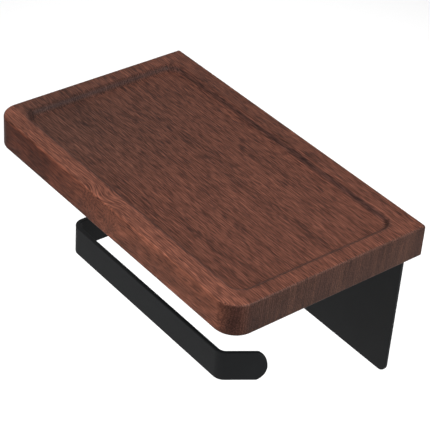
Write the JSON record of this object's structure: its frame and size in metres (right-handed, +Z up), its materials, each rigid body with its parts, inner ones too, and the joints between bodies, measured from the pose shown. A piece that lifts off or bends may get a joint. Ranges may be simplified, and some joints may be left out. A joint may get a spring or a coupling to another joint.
{
  "type": "toilet paper holder",
  "caption": "Wall-hung toilet roll holder: a wooden shelf with a shallow tray on a black steel bracket with an open flat-strip roll arm.",
  "frame": {"origin": "on the wall plane, midway between the two wall-screw holes in the bracket's plate", "axes": "+X to the right along the wall seen from the front, +Y into the wall, +Z up"},
  "size_m": [0.2, 0.12, 0.101],
  "materials": {
    "walnut": "oiled, satin",
    "black_powder_coat": "fine matt powder coat",
    "black_screw_steel": "black oxide, satin"
  },
  "bodies": {
    "root": {"shelf_board": "walnut", "back_bracket": "black_powder_coat", "roll_arm": "black_powder_coat", "arm_rivets": "black_powder_coat", "board_screws": "black_screw_steel"}
  },
  "joints": []
}
